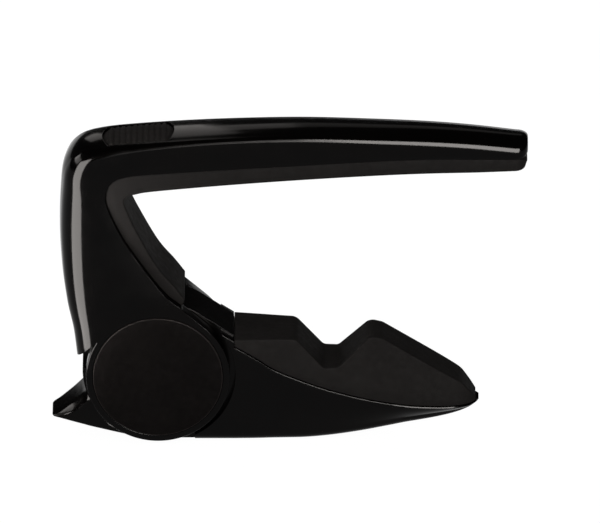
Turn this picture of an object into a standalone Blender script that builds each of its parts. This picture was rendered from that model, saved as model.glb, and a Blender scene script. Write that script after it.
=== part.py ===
"""Guitar capo with a spring-clutch pivot, modelled as an assembly of separate pieces.

Units are metres, +Z is up, +X runs along the string bar to its tip and +Y points to the
rear cover.  Every outline is drawn around the jaw pivot, and an empty carries the pivot to
its height above the flat underside of the jaw, midway between the two ends of the capo.
"""
import math

import bmesh
import bpy
from mathutils import Vector

# ---------------------------------------------------------------- driving sizes
GAP = 0.0003                 # clearance of pieces that seat in, or run on, each other
CURVE_STEPS = 2              # spans drawn between two stations of a smooth outline
ROUND_STEPS = 3              # spans in a quarter-round edge
LARGE_SIDES = 64             # facets of the hub, the ears and the covers
SMALL_SIDES = 24             # facets of shafts, bushes, pins and screws
SHARP_ANGLE = math.radians(32.0)      # faces that meet at more than this keep a sharp edge

# hub, from the release lever's ring out to the rim
LEVER_RING_RADIUS = 0.0092
CAVITY_SLACK = 0.0008        # room around that ring inside the hub
PLATE_LEDGE = 0.0028         # width of the ledge that carries the side plate
RIM_WALL = 0.0012            # wall of the hub outside the side plate
HUB_HALF = 0.0048            # half the width of the hub
CHEEK = 0.0014               # wall of the hub beside the clutch

# ears, from the cover out
EAR_WALL = 0.00104           # wall of an ear around its cover
EAR_THICKNESS = 0.0026
EAR_CHAMFER = 0.0003
EAR_EDGE_ANGLE = math.radians(48.4)   # where the straight upper edge leaves the ear
EAR_EDGE_RUN = 0.0057        # length of that straight edge
COVER_RADIUS = 0.0123
COVER_SEAT_DEPTH = 0.0010    # recess of the ear behind a cover
COVER_PROUD = 0.0003         # how far a cover stands out of its ear
COVER_CHAMFER = 0.00025

# clutch
SHAFT_RADIUS = 0.0030
SHAFT_FLAT = 0.0023          # half width across the two flats at each end
SHAFT_TAP_DEPTH = 0.0040
DRUM_RADIUS = 0.0050
DRUM_PIN_RADIUS = 0.0007
BUSH_WALL = 0.0009
BUSH_FLANGE_RADIUS = 0.0060
BUSH_FLANGE = 0.0005
WIRE_RADIUS = 0.0004
WIRE_PITCH = 0.00126         # from one turn of the clutch spring to the next
WIRE_TURNS = 2.8
WIRE_POINTS = 24             # points along one turn
TANG_LENGTH = 0.0070         # straight end of the clutch spring
TANG_PIN_REACH = 0.0062      # where its pin stands along a straight end
TANG_PIN_RADIUS = 0.0008
TANG_PIN_LENGTH = 0.0028
TANG_START = math.radians(270.0)
SHAFT_SCREW_RADIUS = 0.0014
SHAFT_SCREW_LENGTH = 0.0034
SHAFT_SCREW_HEAD_RADIUS = 0.0040
SHAFT_SCREW_HEAD = 0.0005
PLATE_SCREW_RADIUS = 0.0006
PLATE_SCREW_LENGTH = 0.0030
PLATE_SCREW_HEAD_RADIUS = 0.00095
PLATE_SCREW_HEAD = 0.0005
PLATE_SCREW_MARGIN = 0.0014  # from the middle of a screw to the edge of the plate
PLATE_SCREW_ANGLES = (20.0, 145.0, 275.0)
SHAFT_SOCKET_RADIUS = 0.0012 # drive hole in the head of a shaft screw
PLATE_SOCKET_RADIUS = 0.0005
SOCKET_DEPTH = 0.0003

# release lever
LEVER_START = math.radians(178.0)
LEVER_END = math.radians(251.5)
LEVER_TRAVEL = math.radians(12.0)
LEVER_WEB = 0.0014
WEB_SLOT_RISE = 0.000075     # floor of the slot for the web above the floor of the cavity
TAIL_EDGE = 0.00065          # rounding of the edges of the tail
# tail of the lever, behind the hub: x, upper surface, lower surface, half width
TAIL = (
    (-0.0201, -0.01045, -0.01075, 0.0024),
    (-0.0197, -0.01020, -0.01095, 0.0032),
    (-0.0183, -0.00985, -0.01110, 0.0039),
    (-0.0142, -0.00670, -0.01200, 0.0047),
    (-0.0129, -0.00563, -0.01230, 0.0049),
)
# and under the hub, where its upper surface lies in the rim: x, lower surface, half width
TAIL_ROOT = (
    (-0.0114, -0.01264, 0.0050),
    (-0.0090, -0.01317, 0.0050),
    (-0.0060, -0.01375, 0.0049),
    (-0.0050, -0.01390, 0.0048),
)
TAIL_SINK = 0.0006           # how far the root of the tail lies in the rim

# jaw
NECK_ANGLE = math.radians(55.0)       # where the straight neck leaves the hub
NECK_END = 0.0144                     # x of the end of the neck, where the pad begins
JAW_CLOSING = math.radians(28.0)      # how far the jaw swings up to its closed limit
NECK_SHOULDER = 0.0004                # step from the neck down to the hull beside it
JAW_START = 0.0070                    # x where the wide hull begins
EAR_CLEARANCE = 0.00106               # ring of air between an ear and the wide hull
HULL_FILLET = 0.0020
HULL_BELLY = 0.00025                  # bulge of the sides of the hull at half height
EDGE_SHARE = 1.0 / 3.0                # most of the height of a section that one edge may round
BOTTOM_SHARE = 0.7                    # most of the half width of the hull that it may round
HUB_FOOT_RISE = 0.00005               # step from the underside of the hull up to the hub
# hull: x, rim height, half width at the rim, half width at the bottom, rise of the bottom
HULL = (
    (0.0145, 0.00575, 0.00660, 0.0063, 0.0),
    (0.0187, 0.00312, 0.00655, 0.0062, 0.0),
    (0.0221, 0.00080, 0.00650, 0.0060, 0.0),
    (0.0272, -0.00157, 0.00635, 0.0058, 0.0),
    (0.0323, -0.00357, 0.00615, 0.0054, 0.00025),
    (0.0378, -0.00528, 0.00590, 0.0048, 0.0008),
    (0.0425, -0.00643, 0.00565, 0.0043, 0.0015),
    (0.0477, -0.00732, 0.00540, 0.0038, 0.0023),
    (0.0528, -0.00771, 0.00505, 0.0032, 0.0031),
    (0.0565, -0.00785, 0.00450, 0.0026, 0.0039),
    (0.0590, -0.00785, 0.00350, 0.0018, 0.0047),
    (0.0603, -0.00770, 0.00220, 0.0010, 0.0054),
    (0.0609, -0.00755, 0.00100, 0.0005, 0.0060),
)
PAD_RIM = 0.0002             # how far the rim of the hull stands outside the jaw pad
PAD_DRAFT = 0.12             # lean of the sides of the jaw pad
PAD_EDGE = 0.0005            # rounding of the edges of both pads
# cradle of the jaw pad: corner x, z and rounding
CRADLE = (
    (0.01475, 0.00680, 0.0),
    (0.0262, 0.00645, 0.0020),
    (0.03145, 0.00070, 0.0012),
    (0.03425, 0.00070, 0.0012),
    (0.0402, 0.00690, 0.0020),
    (0.0426, 0.00640, 0.0022),
    (0.0576, -0.00300, 0.0040),
    (0.0604, -0.00690, 0.0),
)

# arm: top point, seat point, face point, half width, edge rounding, crown, pad half width
# The seat is where the metal ends and the string pad begins, and the face is where the
# string pad meets the strings or the edge of the neck.
ARM = (
    ((0.0678, 0.04705), (0.0678, 0.0441), (0.0674, 0.04125), 0.00385, 0.0015, 0.0008, 0.00360),
    ((0.0600, 0.0480), (0.0600, 0.04425), (0.0600, 0.04115), 0.00410, 0.0014, 0.0008, 0.00385),
    ((0.0520, 0.0487), (0.0520, 0.04435), (0.0520, 0.0410), 0.00435, 0.0014, 0.0008, 0.00405),
    ((0.0420, 0.0492), (0.0425, 0.04415), (0.0423, 0.04065), 0.00460, 0.0013, 0.0008, 0.00430),
    ((0.0270, 0.0495), (0.0280, 0.0433), (0.0280, 0.03985), 0.00485, 0.0012, 0.0008, 0.00450),
    ((0.0110, 0.04895), (0.0125, 0.04245), (0.0130, 0.0390), 0.00520, 0.0012, 0.0008, 0.00490),
    ((-0.0030, 0.0480), (-0.0015, 0.0416), (-0.0005, 0.0379), 0.00560, 0.0014, 0.0008, 0.00530),
    ((-0.0105, 0.04685), (-0.0063, 0.0410), (-0.0040, 0.0374), 0.00590, 0.0018, 0.0007, 0.00555),
    ((-0.0147, 0.0450), (-0.0087, 0.0397), (-0.0057, 0.0368), 0.00610, 0.0024, 0.0006, 0.00570),
    ((-0.0172, 0.0415), (-0.0097, 0.0376), (-0.0063, 0.0359), 0.00630, 0.0028, 0.0005, 0.00585),
    ((-0.01805, 0.0362), (-0.0094, 0.0348), (-0.0057, 0.0340), 0.00650, 0.0030, 0.0004, 0.00595),
    ((-0.01847, 0.0285), (-0.00655, 0.0286), (-0.00395, 0.0299), 0.00690, 0.0030, 0.0003, 0.00610),
    ((-0.01815, 0.0205), (-0.0018, 0.02125), (-0.00005, 0.0225), 0.00740, 0.0028, 0.0003, 0.00620),
    ((-0.0175, 0.0145), (0.00165, 0.0168), (0.0032, 0.0183), 0.00760, 0.0026, 0.0002, 0.00625),
    ((-0.0170, 0.0115), (0.00464, 0.01425), (0.00515, 0.0156), 0.00764, 0.0026, 0.0002, 0.00625),
)
# the same below the string pad, where the arm runs out into its ears
ARM_FOOT = (
    ((-0.01645, 0.0080), (0.0040, 0.0080), 0.00766, 0.0026, 0.0002),
    ((-0.0152, 0.0009), (-0.0030, 0.0009), 0.00766, 0.0026, 0.0002),
)
BAR_NOSE = 0.0022            # length of the rounded metal tip beyond the last station
PAD_NOSE = 0.0018            # length of the rounded end of the string pad
NOSE_STEPS = 3

# thumb grip on top of the elbow
GRIP_START = -0.0103
GRIP_END = 0.0031
GRIP_HALF = 0.0040
GRIP_DEPTH = 0.0012          # depth of its pocket in the arm
GRIP_PROUD = 0.0001
RIB_COUNT = 10
RIB_FIRST = -0.0086
RIB_PITCH = 0.0011
RIB_WIDTH = 0.0006
RIB_HEIGHT = 0.0003

# ---------------------------------------------------------------- derived sizes
CAVITY_RADIUS = LEVER_RING_RADIUS + CAVITY_SLACK
PLATE_RADIUS = CAVITY_RADIUS + PLATE_LEDGE
PLATE_SCREW_CIRCLE = PLATE_RADIUS - PLATE_SCREW_MARGIN
RIM_INNER = PLATE_RADIUS + GAP
HUB_RADIUS = RIM_INNER + RIM_WALL
EAR_RADIUS = COVER_RADIUS + GAP + EAR_WALL
EAR_INNER = HUB_HALF + GAP
EAR_OUTER = EAR_INNER + EAR_THICKNESS
COVER_SEAT = EAR_OUTER - COVER_SEAT_DEPTH
SHAFT_END = COVER_SEAT - SHAFT_SCREW_HEAD - GAP
CAVITY_HALF = HUB_HALF - CHEEK
DRUM_HALF = CAVITY_HALF - GAP
COIL_RADIUS = DRUM_RADIUS + GAP + WIRE_RADIUS
WEB_FRONT = -DRUM_HALF
WEB_BACK = WEB_FRONT + LEVER_WEB
COIL_START = WEB_BACK + GAP + WIRE_RADIUS
BUSH_BORE = SHAFT_RADIUS + GAP
BUSH_RADIUS = BUSH_BORE + BUSH_WALL
TAIL_TIP = TAIL[0][0]
BAR_TIP = ARM[0][0][0] + BAR_NOSE
PIVOT = Vector((-(TAIL_TIP + BAR_TIP) / 2, 0.0, HUB_RADIUS))

COLOURS = {
    "painted": ((0.012, 0.011, 0.011, 1.0), 0.22, 0.0),
    "rubber": ((0.030, 0.029, 0.029, 1.0), 0.75, 0.0),
    "satin": ((0.018, 0.017, 0.017, 1.0), 0.45, 0.0),
    "steel": ((0.55, 0.55, 0.57, 1.0), 0.30, 1.0),
    "bronze": ((0.55, 0.38, 0.20, 1.0), 0.40, 1.0),
}


# ---------------------------------------------------------------- scene helpers
def clear_scene():
    """Remove every object, so that the script starts from an empty file."""
    for item in list(bpy.data.objects):
        bpy.data.objects.remove(item, do_unlink=True)


def finish_material(name):
    """A Principled material of one named finish, made once."""
    found = bpy.data.materials.get(name)
    if found:
        return found
    colour, roughness, metallic = COLOURS[name]
    made = bpy.data.materials.new(name)
    made.use_nodes = True
    shader = made.node_tree.nodes["Principled BSDF"]
    shader.inputs["Base Color"].default_value = colour
    shader.inputs["Roughness"].default_value = roughness
    shader.inputs["Metallic"].default_value = metallic
    made.diffuse_color = colour
    return made


def piece(name, data, finish, pivot):
    """Put mesh or curve data into the scene as one named piece on the pivot."""
    made = bpy.data.objects.new(name, data)
    bpy.context.scene.collection.objects.link(made)
    made.parent = pivot
    if finish:
        data.materials.append(finish_material(finish))
    return made


def cut(target, data, pivot, operation="DIFFERENCE"):
    """Apply a hidden helper solid to a piece with an exact Boolean."""
    helper = piece(target.name + "_helper", data, None, pivot)
    helper.hide_render = True
    helper.display_type = "WIRE"
    step = target.modifiers.new("cut", "BOOLEAN")
    step.operation = operation
    step.solver = "EXACT"
    step.object = helper


def closed_mesh(points, faces):
    """A mesh with its faces turned outwards, smooth except at its sharp edges."""
    work = bmesh.new()
    corners = [work.verts.new(point) for point in points]
    for face in faces:
        work.faces.new([corners[index] for index in face])
    bmesh.ops.recalc_face_normals(work, faces=work.faces)
    data = bpy.data.meshes.new("solid")
    work.to_mesh(data)
    work.free()
    data.shade_smooth()
    data.set_sharp_from_angle(angle=SHARP_ANGLE)
    return data


# ---------------------------------------------------------------- shape helpers
def loft(rings):
    """A closed solid through rings of equal length, flat at both ends."""
    count = len(rings[0])
    points = [point for ring in rings for point in ring]
    faces = [list(range(count)), list(range(len(points) - count, len(points)))]
    for level in range(len(rings) - 1):
        base = level * count
        for side in range(count):
            ahead = (side + 1) % count
            faces.append((base + side, base + ahead, base + count + ahead, base + count + side))
    return closed_mesh(points, faces)


def prism(outline, front, back):
    """A side outline of (x, z) points carried straight from one y to another."""
    return loft([[(x, y, z) for x, z in outline] for y in (front, back)])


def turned(profile, sides=SMALL_SIDES, centre=(0.0, 0.0)):
    """A solid turned about Y from (radius, y) points that run from axis to axis."""
    points = []
    starts = []
    for radius, y in profile:
        starts.append(len(points))
        spokes = sides if radius > 0.0 else 1
        for side in range(spokes):
            angle = 2 * math.pi * side / sides
            x = centre[0] + radius * math.cos(angle)
            points.append((x, y, centre[1] + radius * math.sin(angle)))
    faces = []
    for level in range(len(profile) - 1):
        here, there = starts[level], starts[level + 1]
        here_point = profile[level][0] == 0.0
        there_point = profile[level + 1][0] == 0.0
        for side in range(sides):
            ahead = (side + 1) % sides
            ring = [here] if here_point else [here + side, here + ahead]
            ring += [there] if there_point else [there + ahead, there + side]
            faces.append(ring)
    return closed_mesh(points, faces)


def disc(radius, front, back, sides=SMALL_SIDES, centre=(0.0, 0.0)):
    """A plain round solid about Y."""
    return turned(((0.0, front), (radius, front), (radius, back), (0.0, back)), sides, centre)


def tube(bore, radius, front, back, sides=SMALL_SIDES):
    """A round solid about Y with a bore right through it."""
    profile = ((bore, front), (radius, front), (radius, back), (bore, back))
    points = []
    for edge, y in profile:
        for side in range(sides):
            angle = 2 * math.pi * side / sides
            points.append((edge * math.cos(angle), y, edge * math.sin(angle)))
    faces = []
    for level in range(len(profile)):
        here = level * sides
        there = (level + 1) % len(profile) * sides
        for side in range(sides):
            ahead = (side + 1) % sides
            faces.append((here + side, here + ahead, there + ahead, there + side))
    return closed_mesh(points, faces)


def polar(radius, angle):
    """An (x, z) point at an angle from +X towards +Z."""
    return radius * math.cos(angle), radius * math.sin(angle)


def arc(radius, start, end, sides=LARGE_SIDES):
    """Points along an arc about the pivot, as fine as a whole circle of that many sides."""
    spans = max(2, round(abs(end - start) / (2 * math.pi) * sides))
    return [polar(radius, start + (end - start) * k / spans) for k in range(spans + 1)]


def sector(inner, outer, start, end):
    """The outline of a ring segment about the pivot."""
    return arc(outer, start, end) + arc(inner, end, start)


def smooth_rows(rows, steps):
    """A Catmull-Rom curve through rows of numbers of equal length."""
    padded = [rows[0]] + list(rows) + [rows[-1]]
    result = []
    for index in range(len(rows) - 1):
        before, start, end, after = padded[index:index + 4]
        for step in range(steps):
            t = step / steps
            weights = (
                (-t + 2 * t * t - t ** 3) / 2,
                (2 - 5 * t * t + 3 * t ** 3) / 2,
                (t + 4 * t * t - 3 * t ** 3) / 2,
                (t ** 3 - t * t) / 2,
            )
            columns = zip(before, start, end, after)
            result.append([sum(w * v for w, v in zip(weights, column)) for column in columns])
    result.append(list(rows[-1]))
    return result


def rounded_outline(corners, steps):
    """An open outline of (x, z, radius) corners, with each inner corner rounded."""
    result = [corners[0][:2]]
    for index in range(1, len(corners) - 1):
        corner = Vector(corners[index][:2])
        back = (Vector(corners[index - 1][:2]) - corner).normalized()
        ahead = (Vector(corners[index + 1][:2]) - corner).normalized()
        half = back.angle(ahead) / 2
        radius = corners[index][2]
        start = corner + back * radius / math.tan(half)
        end = corner + ahead * radius / math.tan(half)
        middle = corner + (back + ahead).normalized() * radius / math.sin(half)
        first = (start - middle).normalized()
        last = (end - middle).normalized()
        turn = first.angle(last)
        for step in range(steps + 1):
            share = step / steps
            low = math.sin((1 - share) * turn) / math.sin(turn)
            high = math.sin(share * turn) / math.sin(turn)
            result.append(tuple(middle + (first * low + last * high) * radius))
    result.append(corners[-1][:2])
    return result


def height_at(points, x):
    """The height of a polyline of (x, z) points at one x."""
    ordered = sorted(points)
    for (x0, z0), (x1, z1) in zip(ordered, ordered[1:]):
        if x0 <= x <= x1:
            return z0 + (z1 - z0) * (x - x0) / (x1 - x0)
    return ordered[0][1] if x < ordered[0][0] else ordered[-1][1]


def quarter_round(radius):
    """Offsets (along, inward) around a rounded corner, from its side to its top."""
    angles = [math.pi / 2 * k / ROUND_STEPS for k in range(ROUND_STEPS + 1)]
    return [(radius * math.sin(a), radius * (1 - math.cos(a))) for a in angles]


# ---------------------------------------------------------------- arm and its pads
def arm_ring(top, seat, half, edge, crown):
    """One cross-section of the arm, from the seat of the pad to the crowned outside."""
    top, seat = Vector(top), Vector(seat)
    depth = (top - seat).length
    outward = (top - seat) / depth
    shoulder = depth - crown - edge
    side = [(0.0, half)]
    side += [(shoulder + along, half - inward) for along, inward in quarter_round(edge)]
    profile = side + [(depth, 0.0)] + [(rise, -y) for rise, y in reversed(side)]
    return [(seat.x + outward.x * rise, y, seat.y + outward.y * rise) for rise, y in profile]


def pad_ring(seat, face, half):
    """One cross-section of the string pad, from its seat on the arm to its rounded face."""
    seat, face = Vector(seat), Vector(face)
    depth = (face - seat).length
    outward = (face - seat) / depth
    shoulder = depth - PAD_EDGE
    side = [(GAP, half)]
    side += [(shoulder + along, half - inward) for along, inward in quarter_round(PAD_EDGE)]
    profile = side + [(rise, -y) for rise, y in reversed(side)]
    return [(seat.x + outward.x * rise, y, seat.y + outward.y * rise) for rise, y in profile]


def nose_rings(ring, length, radius):
    """Smaller copies of an end section that round it off over a length along +X."""
    middle_z = sum(point[2] for point in ring) / len(ring)
    reach = max(abs(point[1]) for point in ring)
    tall = max(abs(point[2] - middle_z) for point in ring)
    rings = []
    for step in range(1, NOSE_STEPS + 1):
        angle = math.pi / 2 * step / NOSE_STEPS
        inset = radius * (1 - math.cos(angle))
        wide = (reach - inset) / reach
        high = (tall - inset * tall / reach) / tall
        ahead = length * math.sin(angle)
        rings.append([(x + ahead, y * wide, middle_z + (z - middle_z) * high) for x, y, z in ring])
    return list(reversed(rings))


def ear_outline(radius):
    """The ear seen from the side: a round end with a straight edge up to the arm."""
    round_end = arc(radius, math.pi, 2 * math.pi + EAR_EDGE_ANGLE)
    x, z = polar(radius, EAR_EDGE_ANGLE)
    edge_x = x - EAR_EDGE_RUN * math.sin(EAR_EDGE_ANGLE)
    edge_z = z + EAR_EDGE_RUN * math.cos(EAR_EDGE_ANGLE)
    return round_end + [(edge_x, edge_z), (-radius, edge_z)]


def ear(side):
    """One ear of the arm, with a chamfer around its outer face."""
    inner = ear_outline(EAR_RADIUS)
    outer = ear_outline(EAR_RADIUS - EAR_CHAMFER)
    root = EAR_INNER - GAP / 2
    levels = ((inner, root), (inner, EAR_OUTER - EAR_CHAMFER), (outer, EAR_OUTER))
    return loft([[(x, side * y, z) for x, z in outline] for outline, y in levels])


def slot_outline():
    """The space between the ears: round for the hub, square for the neck of the closed jaw."""
    radius = HUB_RADIUS + GAP
    start = NECK_ANGLE + JAW_CLOSING
    x, z = polar(radius, start)
    ahead_x, ahead_z = polar(radius, start - math.pi / 2)
    return arc(radius, start, start + 1.5 * math.pi) + [(x + ahead_x, z + ahead_z)]


def shaft_end_outline(clearance):
    """The shaft end seen along its axis, a circle with two flats."""
    flat = SHAFT_FLAT + clearance
    outline = []
    for side in range(SMALL_SIDES):
        x, z = polar(SHAFT_RADIUS + clearance, 2 * math.pi * side / SMALL_SIDES)
        outline.append((max(-flat, min(flat, x)), z))
    return outline


def top_of_bar(rows):
    """The outline of the arm from the tip of the bar back to the widest point of the spine."""
    line = [(rows[0][0], rows[0][1])]
    for row in rows[1:]:
        if row[0] >= line[-1][0]:
            break
        line.append((row[0], row[1]))
    return line


def grip_profile(top_line, lift):
    """The line of the top of the arm under the thumb grip, raised by a lift."""
    spans = RIB_COUNT + 2
    stations = [GRIP_START + (GRIP_END - GRIP_START) * k / spans for k in range(spans + 1)]
    return [(x, height_at(top_line, x) + lift) for x in stations]


def make_arm(pivot):
    """The cast arm: string bar, elbow, spine and the two ears of the pivot."""
    head = [list(top) + list(seat) + [half, edge, crown] for top, seat, _, half, edge, crown, _ in ARM]
    foot = [list(top) + list(seat) + [half, edge, crown] for top, seat, half, edge, crown in ARM_FOOT]
    rows = smooth_rows(head, CURVE_STEPS) + smooth_rows(head[-1:] + foot, CURVE_STEPS)[1:]
    rings = [arm_ring(row[0:2], row[2:4], row[4], row[5], row[6]) for row in rows]
    tip_half, tip_edge = ARM[0][3:5]
    rings = nose_rings(rings[0], BAR_NOSE, tip_half - tip_edge) + rings
    arm = piece("arm_frame", loft(rings), "painted", pivot)
    for side in (-1, 1):
        cut(arm, ear(side), pivot, "UNION")
    cut(arm, prism(slot_outline(), -EAR_INNER, EAR_INNER), pivot)
    outside = EAR_OUTER + GAP
    head_radius = SHAFT_SCREW_HEAD_RADIUS + GAP
    for side in (-1, 1):
        recess = ((0.0, SHAFT_END), (head_radius, SHAFT_END), (head_radius, COVER_SEAT),
                  (COVER_RADIUS + GAP, COVER_SEAT), (COVER_RADIUS + GAP, outside), (0.0, outside))
        cut(arm, turned([(r, side * y) for r, y in recess], LARGE_SIDES), pivot)
        bore = shaft_end_outline(GAP)
        cut(arm, prism(bore, side * (EAR_INNER - GAP), side * (SHAFT_END + GAP)), pivot)
    top_line = top_of_bar(rows)
    floor = grip_profile(top_line, -GRIP_DEPTH)
    pocket = floor + [(x, z + 2 * GRIP_DEPTH) for x, z in reversed(floor)]
    cut(arm, prism(pocket, -GRIP_HALF - GAP, GRIP_HALF + GAP), pivot)
    make_grip(top_line, pivot)


def make_grip(top_line, pivot):
    """The ribbed rubber insert that the thumb presses, in its pocket on the elbow."""
    floor = [(x, z + GAP) for x, z in grip_profile(top_line, -GRIP_DEPTH)]
    floor[0] = (floor[0][0] + GAP, floor[0][1])
    floor[-1] = (floor[-1][0] - GAP, floor[-1][1])
    crest = [(floor[0][0], height_at(top_line, floor[0][0]) - GRIP_PROUD)]
    for rib in range(RIB_COUNT):
        middle = RIB_FIRST + rib * RIB_PITCH
        for offset, rise in ((-1.0, 0.0), (-0.5, 1.0), (0.5, 1.0), (1.0, 0.0)):
            x = middle + offset * RIB_WIDTH / 2
            crest.append((x, height_at(top_line, x) + GRIP_PROUD + rise * RIB_HEIGHT))
    crest.append((floor[-1][0], height_at(top_line, floor[-1][0]) - GRIP_PROUD))
    outline = floor + list(reversed(crest))
    piece("thumb_grip", prism(outline, -GRIP_HALF, GRIP_HALF), "rubber", pivot)


def make_string_pad(pivot):
    """The one-piece rubber pad under the bar that runs on down the spine as a bumper."""
    rows = [list(seat) + list(face) + [pad_half] for _, seat, face, _, _, _, pad_half in ARM]
    rows = smooth_rows(rows, CURVE_STEPS)
    rings = [pad_ring(row[0:2], row[2:4], row[4]) for row in rows]
    rings = nose_rings(rings[0], PAD_NOSE, PAD_NOSE) + rings
    piece("string_pad", loft(rings), "rubber", pivot)


def make_cover(name, side, pivot):
    """A plain round cover that closes one end of the pivot."""
    back = COVER_SEAT + GAP
    face = EAR_OUTER + COVER_PROUD
    profile = ((0.0, back), (COVER_RADIUS, back), (COVER_RADIUS, face - COVER_CHAMFER),
               (COVER_RADIUS - COVER_CHAMFER, face), (0.0, face))
    piece(name, turned([(r, side * y) for r, y in profile], LARGE_SIDES), "satin", pivot)


# ---------------------------------------------------------------- clutch
def make_shaft(pivot):
    """The pivot shaft, held from turning by the flats at its two ends."""
    circle = [polar(SHAFT_RADIUS, 2 * math.pi * k / SMALL_SIDES) for k in range(SMALL_SIDES)]
    flats = shaft_end_outline(0.0)
    levels = ((flats, -SHAFT_END), (flats, -EAR_INNER), (circle, -EAR_INNER + GAP),
              (circle, EAR_INNER - GAP), (flats, EAR_INNER), (flats, SHAFT_END))
    shaft = piece("pivot_shaft", loft([[(x, y, z) for x, z in o] for o, y in levels]), "steel", pivot)
    tap = SHAFT_SCREW_RADIUS + GAP
    for side in (-1, 1):
        bottom = side * (SHAFT_END - SHAFT_TAP_DEPTH)
        cut(shaft, disc(tap, bottom, side * (SHAFT_END + GAP), SMALL_SIDES), pivot)
    cut(shaft, cross_rod(DRUM_PIN_RADIUS + GAP, SHAFT_RADIUS + GAP), pivot)


def cross_rod(radius, half_length):
    """A round rod along X through the middle of the shaft."""
    sides = SMALL_SIDES // 2
    rings = []
    for x in (-half_length, half_length):
        spokes = [polar(radius, 2 * math.pi * k / sides) for k in range(sides)]
        rings.append([(x, y, z) for y, z in spokes])
    return loft(rings)


def make_drum(pivot):
    """The clutch drum, pinned across the shaft, that the clutch spring grips."""
    body = tube(BUSH_BORE, DRUM_RADIUS, -DRUM_HALF, DRUM_HALF, LARGE_SIDES // 2)
    drum = piece("clutch_drum", body, "steel", pivot)
    cut(drum, cross_rod(DRUM_PIN_RADIUS + GAP, DRUM_RADIUS + GAP), pivot)
    piece("drum_pin", cross_rod(DRUM_PIN_RADIUS, DRUM_RADIUS - GAP / 2), "steel", pivot)


def coil_end(share):
    """Point and direction of the clutch spring at the start (0) or the end (1) of its coil."""
    angle = TANG_START + share * WIRE_TURNS * 2 * math.pi
    x, z = polar(COIL_RADIUS, angle)
    y = COIL_START + share * WIRE_TURNS * WIRE_PITCH
    return Vector((x, y, z)), Vector((-math.sin(angle), 0.0, math.cos(angle)))


def tang_pin_centre(share):
    """Where the pin stands that holds one straight end of the clutch spring."""
    point, along = coil_end(share)
    inward = Vector((-point.x, 0.0, -point.z)).normalized()
    reach = TANG_PIN_REACH if share else -TANG_PIN_REACH
    place = point + along * reach + inward * (WIRE_RADIUS + TANG_PIN_RADIUS + GAP)
    return place.x, place.z


def make_spring(pivot):
    """The clutch spring: one wire wound on the drum, with a straight end at each side."""
    first, first_way = coil_end(0)
    last, last_way = coil_end(1)
    spans = round(WIRE_TURNS * WIRE_POINTS)
    path = [first - first_way * TANG_LENGTH]
    for step in range(spans + 1):
        angle = TANG_START + step / WIRE_POINTS * 2 * math.pi
        x, z = polar(COIL_RADIUS, angle)
        path.append(Vector((x, COIL_START + step / WIRE_POINTS * WIRE_PITCH, z)))
    path.append(last + last_way * TANG_LENGTH)
    wire = bpy.data.curves.new("wire", "CURVE")
    wire.dimensions = "3D"
    wire.bevel_depth = WIRE_RADIUS
    wire.bevel_resolution = 1
    wire.use_fill_caps = True
    line = wire.splines.new("POLY")
    line.points.add(len(path) - 1)
    for point, place in zip(line.points, path):
        point.co = (place.x, place.y, place.z, 1.0)
    piece("wrap_spring", wire, "steel", pivot)
    print("least gap between turns of wrap_spring, metres:", round(WIRE_PITCH - 2 * WIRE_RADIUS, 6))


def make_shaft_screw(name, side, pivot):
    """A low-head screw that draws an ear onto the end of the shaft."""
    head = SHAFT_END + GAP
    top = head + SHAFT_SCREW_HEAD
    profile = ((0.0, SHAFT_END - SHAFT_SCREW_LENGTH), (SHAFT_SCREW_RADIUS, SHAFT_END - SHAFT_SCREW_LENGTH),
               (SHAFT_SCREW_RADIUS, head), (SHAFT_SCREW_HEAD_RADIUS, head),
               (SHAFT_SCREW_HEAD_RADIUS, top), (SHAFT_SOCKET_RADIUS, top),
               (SHAFT_SOCKET_RADIUS, top - SOCKET_DEPTH), (0.0, top - SOCKET_DEPTH))
    piece(name, turned([(r, side * y) for r, y in profile]), "steel", pivot)


def make_bush(name, side, pivot):
    """A flanged bush in one wall of the hub, running on the shaft."""
    flange = HUB_HALF - BUSH_FLANGE
    profile = ((BUSH_BORE, CAVITY_HALF), (BUSH_RADIUS, CAVITY_HALF), (BUSH_RADIUS, flange),
               (BUSH_FLANGE_RADIUS, flange), (BUSH_FLANGE_RADIUS, HUB_HALF), (BUSH_BORE, HUB_HALF))
    points = []
    for radius, y in profile:
        for k in range(SMALL_SIDES):
            x, z = polar(radius, 2 * math.pi * k / SMALL_SIDES)
            points.append((x, side * y, z))
    faces = []
    for level in range(len(profile)):
        here = level * SMALL_SIDES
        there = (level + 1) % len(profile) * SMALL_SIDES
        for k in range(SMALL_SIDES):
            ahead = (k + 1) % SMALL_SIDES
            faces.append((here + k, here + ahead, there + ahead, there + k))
    piece(name, closed_mesh(points, faces), "bronze", pivot)


def bush_seat(side):
    """The stepped hole for a bush, as a solid to cut with."""
    flange = HUB_HALF - BUSH_FLANGE - GAP
    profile = ((0.0, CAVITY_HALF - GAP), (BUSH_RADIUS + GAP, CAVITY_HALF - GAP),
               (BUSH_RADIUS + GAP, flange), (BUSH_FLANGE_RADIUS + GAP, flange),
               (BUSH_FLANGE_RADIUS + GAP, HUB_HALF + GAP), (0.0, HUB_HALF + GAP))
    return turned([(r, side * y) for r, y in profile])


# ---------------------------------------------------------------- jaw
def neck_height(x):
    """Height of the straight top of the neck, which is tangent to the hub."""
    start_x, start_z = polar(HUB_RADIUS, NECK_ANGLE)
    return start_z - (x - start_x) / math.tan(NECK_ANGLE)


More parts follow.
